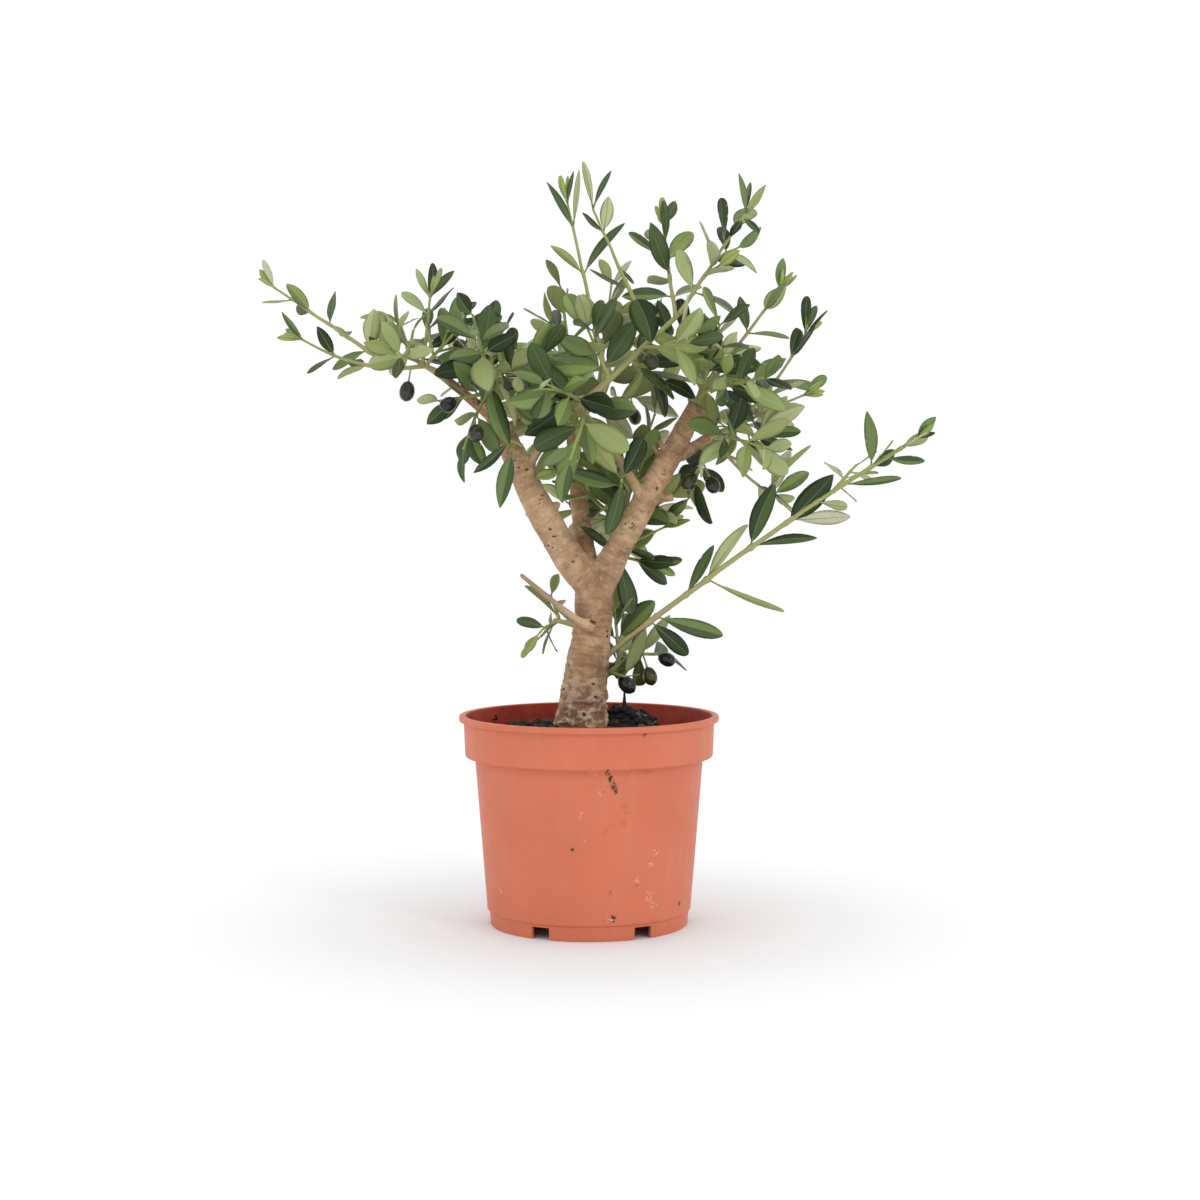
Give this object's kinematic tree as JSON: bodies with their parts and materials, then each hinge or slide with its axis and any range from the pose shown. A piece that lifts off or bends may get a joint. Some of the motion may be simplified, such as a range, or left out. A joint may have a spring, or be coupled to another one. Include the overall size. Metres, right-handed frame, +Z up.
{
  "type": "potted olive bonsai",
  "caption": "Olive bonsai with a forked, pruned trunk and an open crown of slender leafy shoots and olives, standing in a tapered plastic pot of soil.",
  "frame": {"origin": "centre of the pot's underside, at the level it stands on, which is under the middle of the crown's box", "axes": "+Z up along the pot's axis, -Y to the front that the picture shows, +X to the right seen from the front"},
  "size_m": [0.5698, 0.2772, 0.6398],
  "materials": {
    "pot": "satin terracotta-coloured plastic, lightly soiled",
    "soil": "dark moist crumbly potting soil",
    "bark": "pale brown bark, smooth above and wrinkled at the foot",
    "foliage": "leathery leaves, green above and pale grey-green below"
  },
  "bodies": {
    "root": {"pot": "pot", "soil": "soil", "trunk": "bark", "bough_left": "bark", "bough_right": "bark", "bough_back": "bark", "bough_left_arm": "bark", "bough_right_arm": "bark", "bough_centre": "bark", "pruned_twig": "bark", "foliage_left_reach": "foliage", "foliage_left_crown": "foliage", "foliage_centre": "foliage", "foliage_back": "foliage", "foliage_inner": "foliage", "foliage_right_crown": "foliage", "foliage_right": "foliage", "foliage_low_right": "foliage", "foliage_base_right": "foliage", "foliage_base_left": "foliage"}
  },
  "joints": []
}
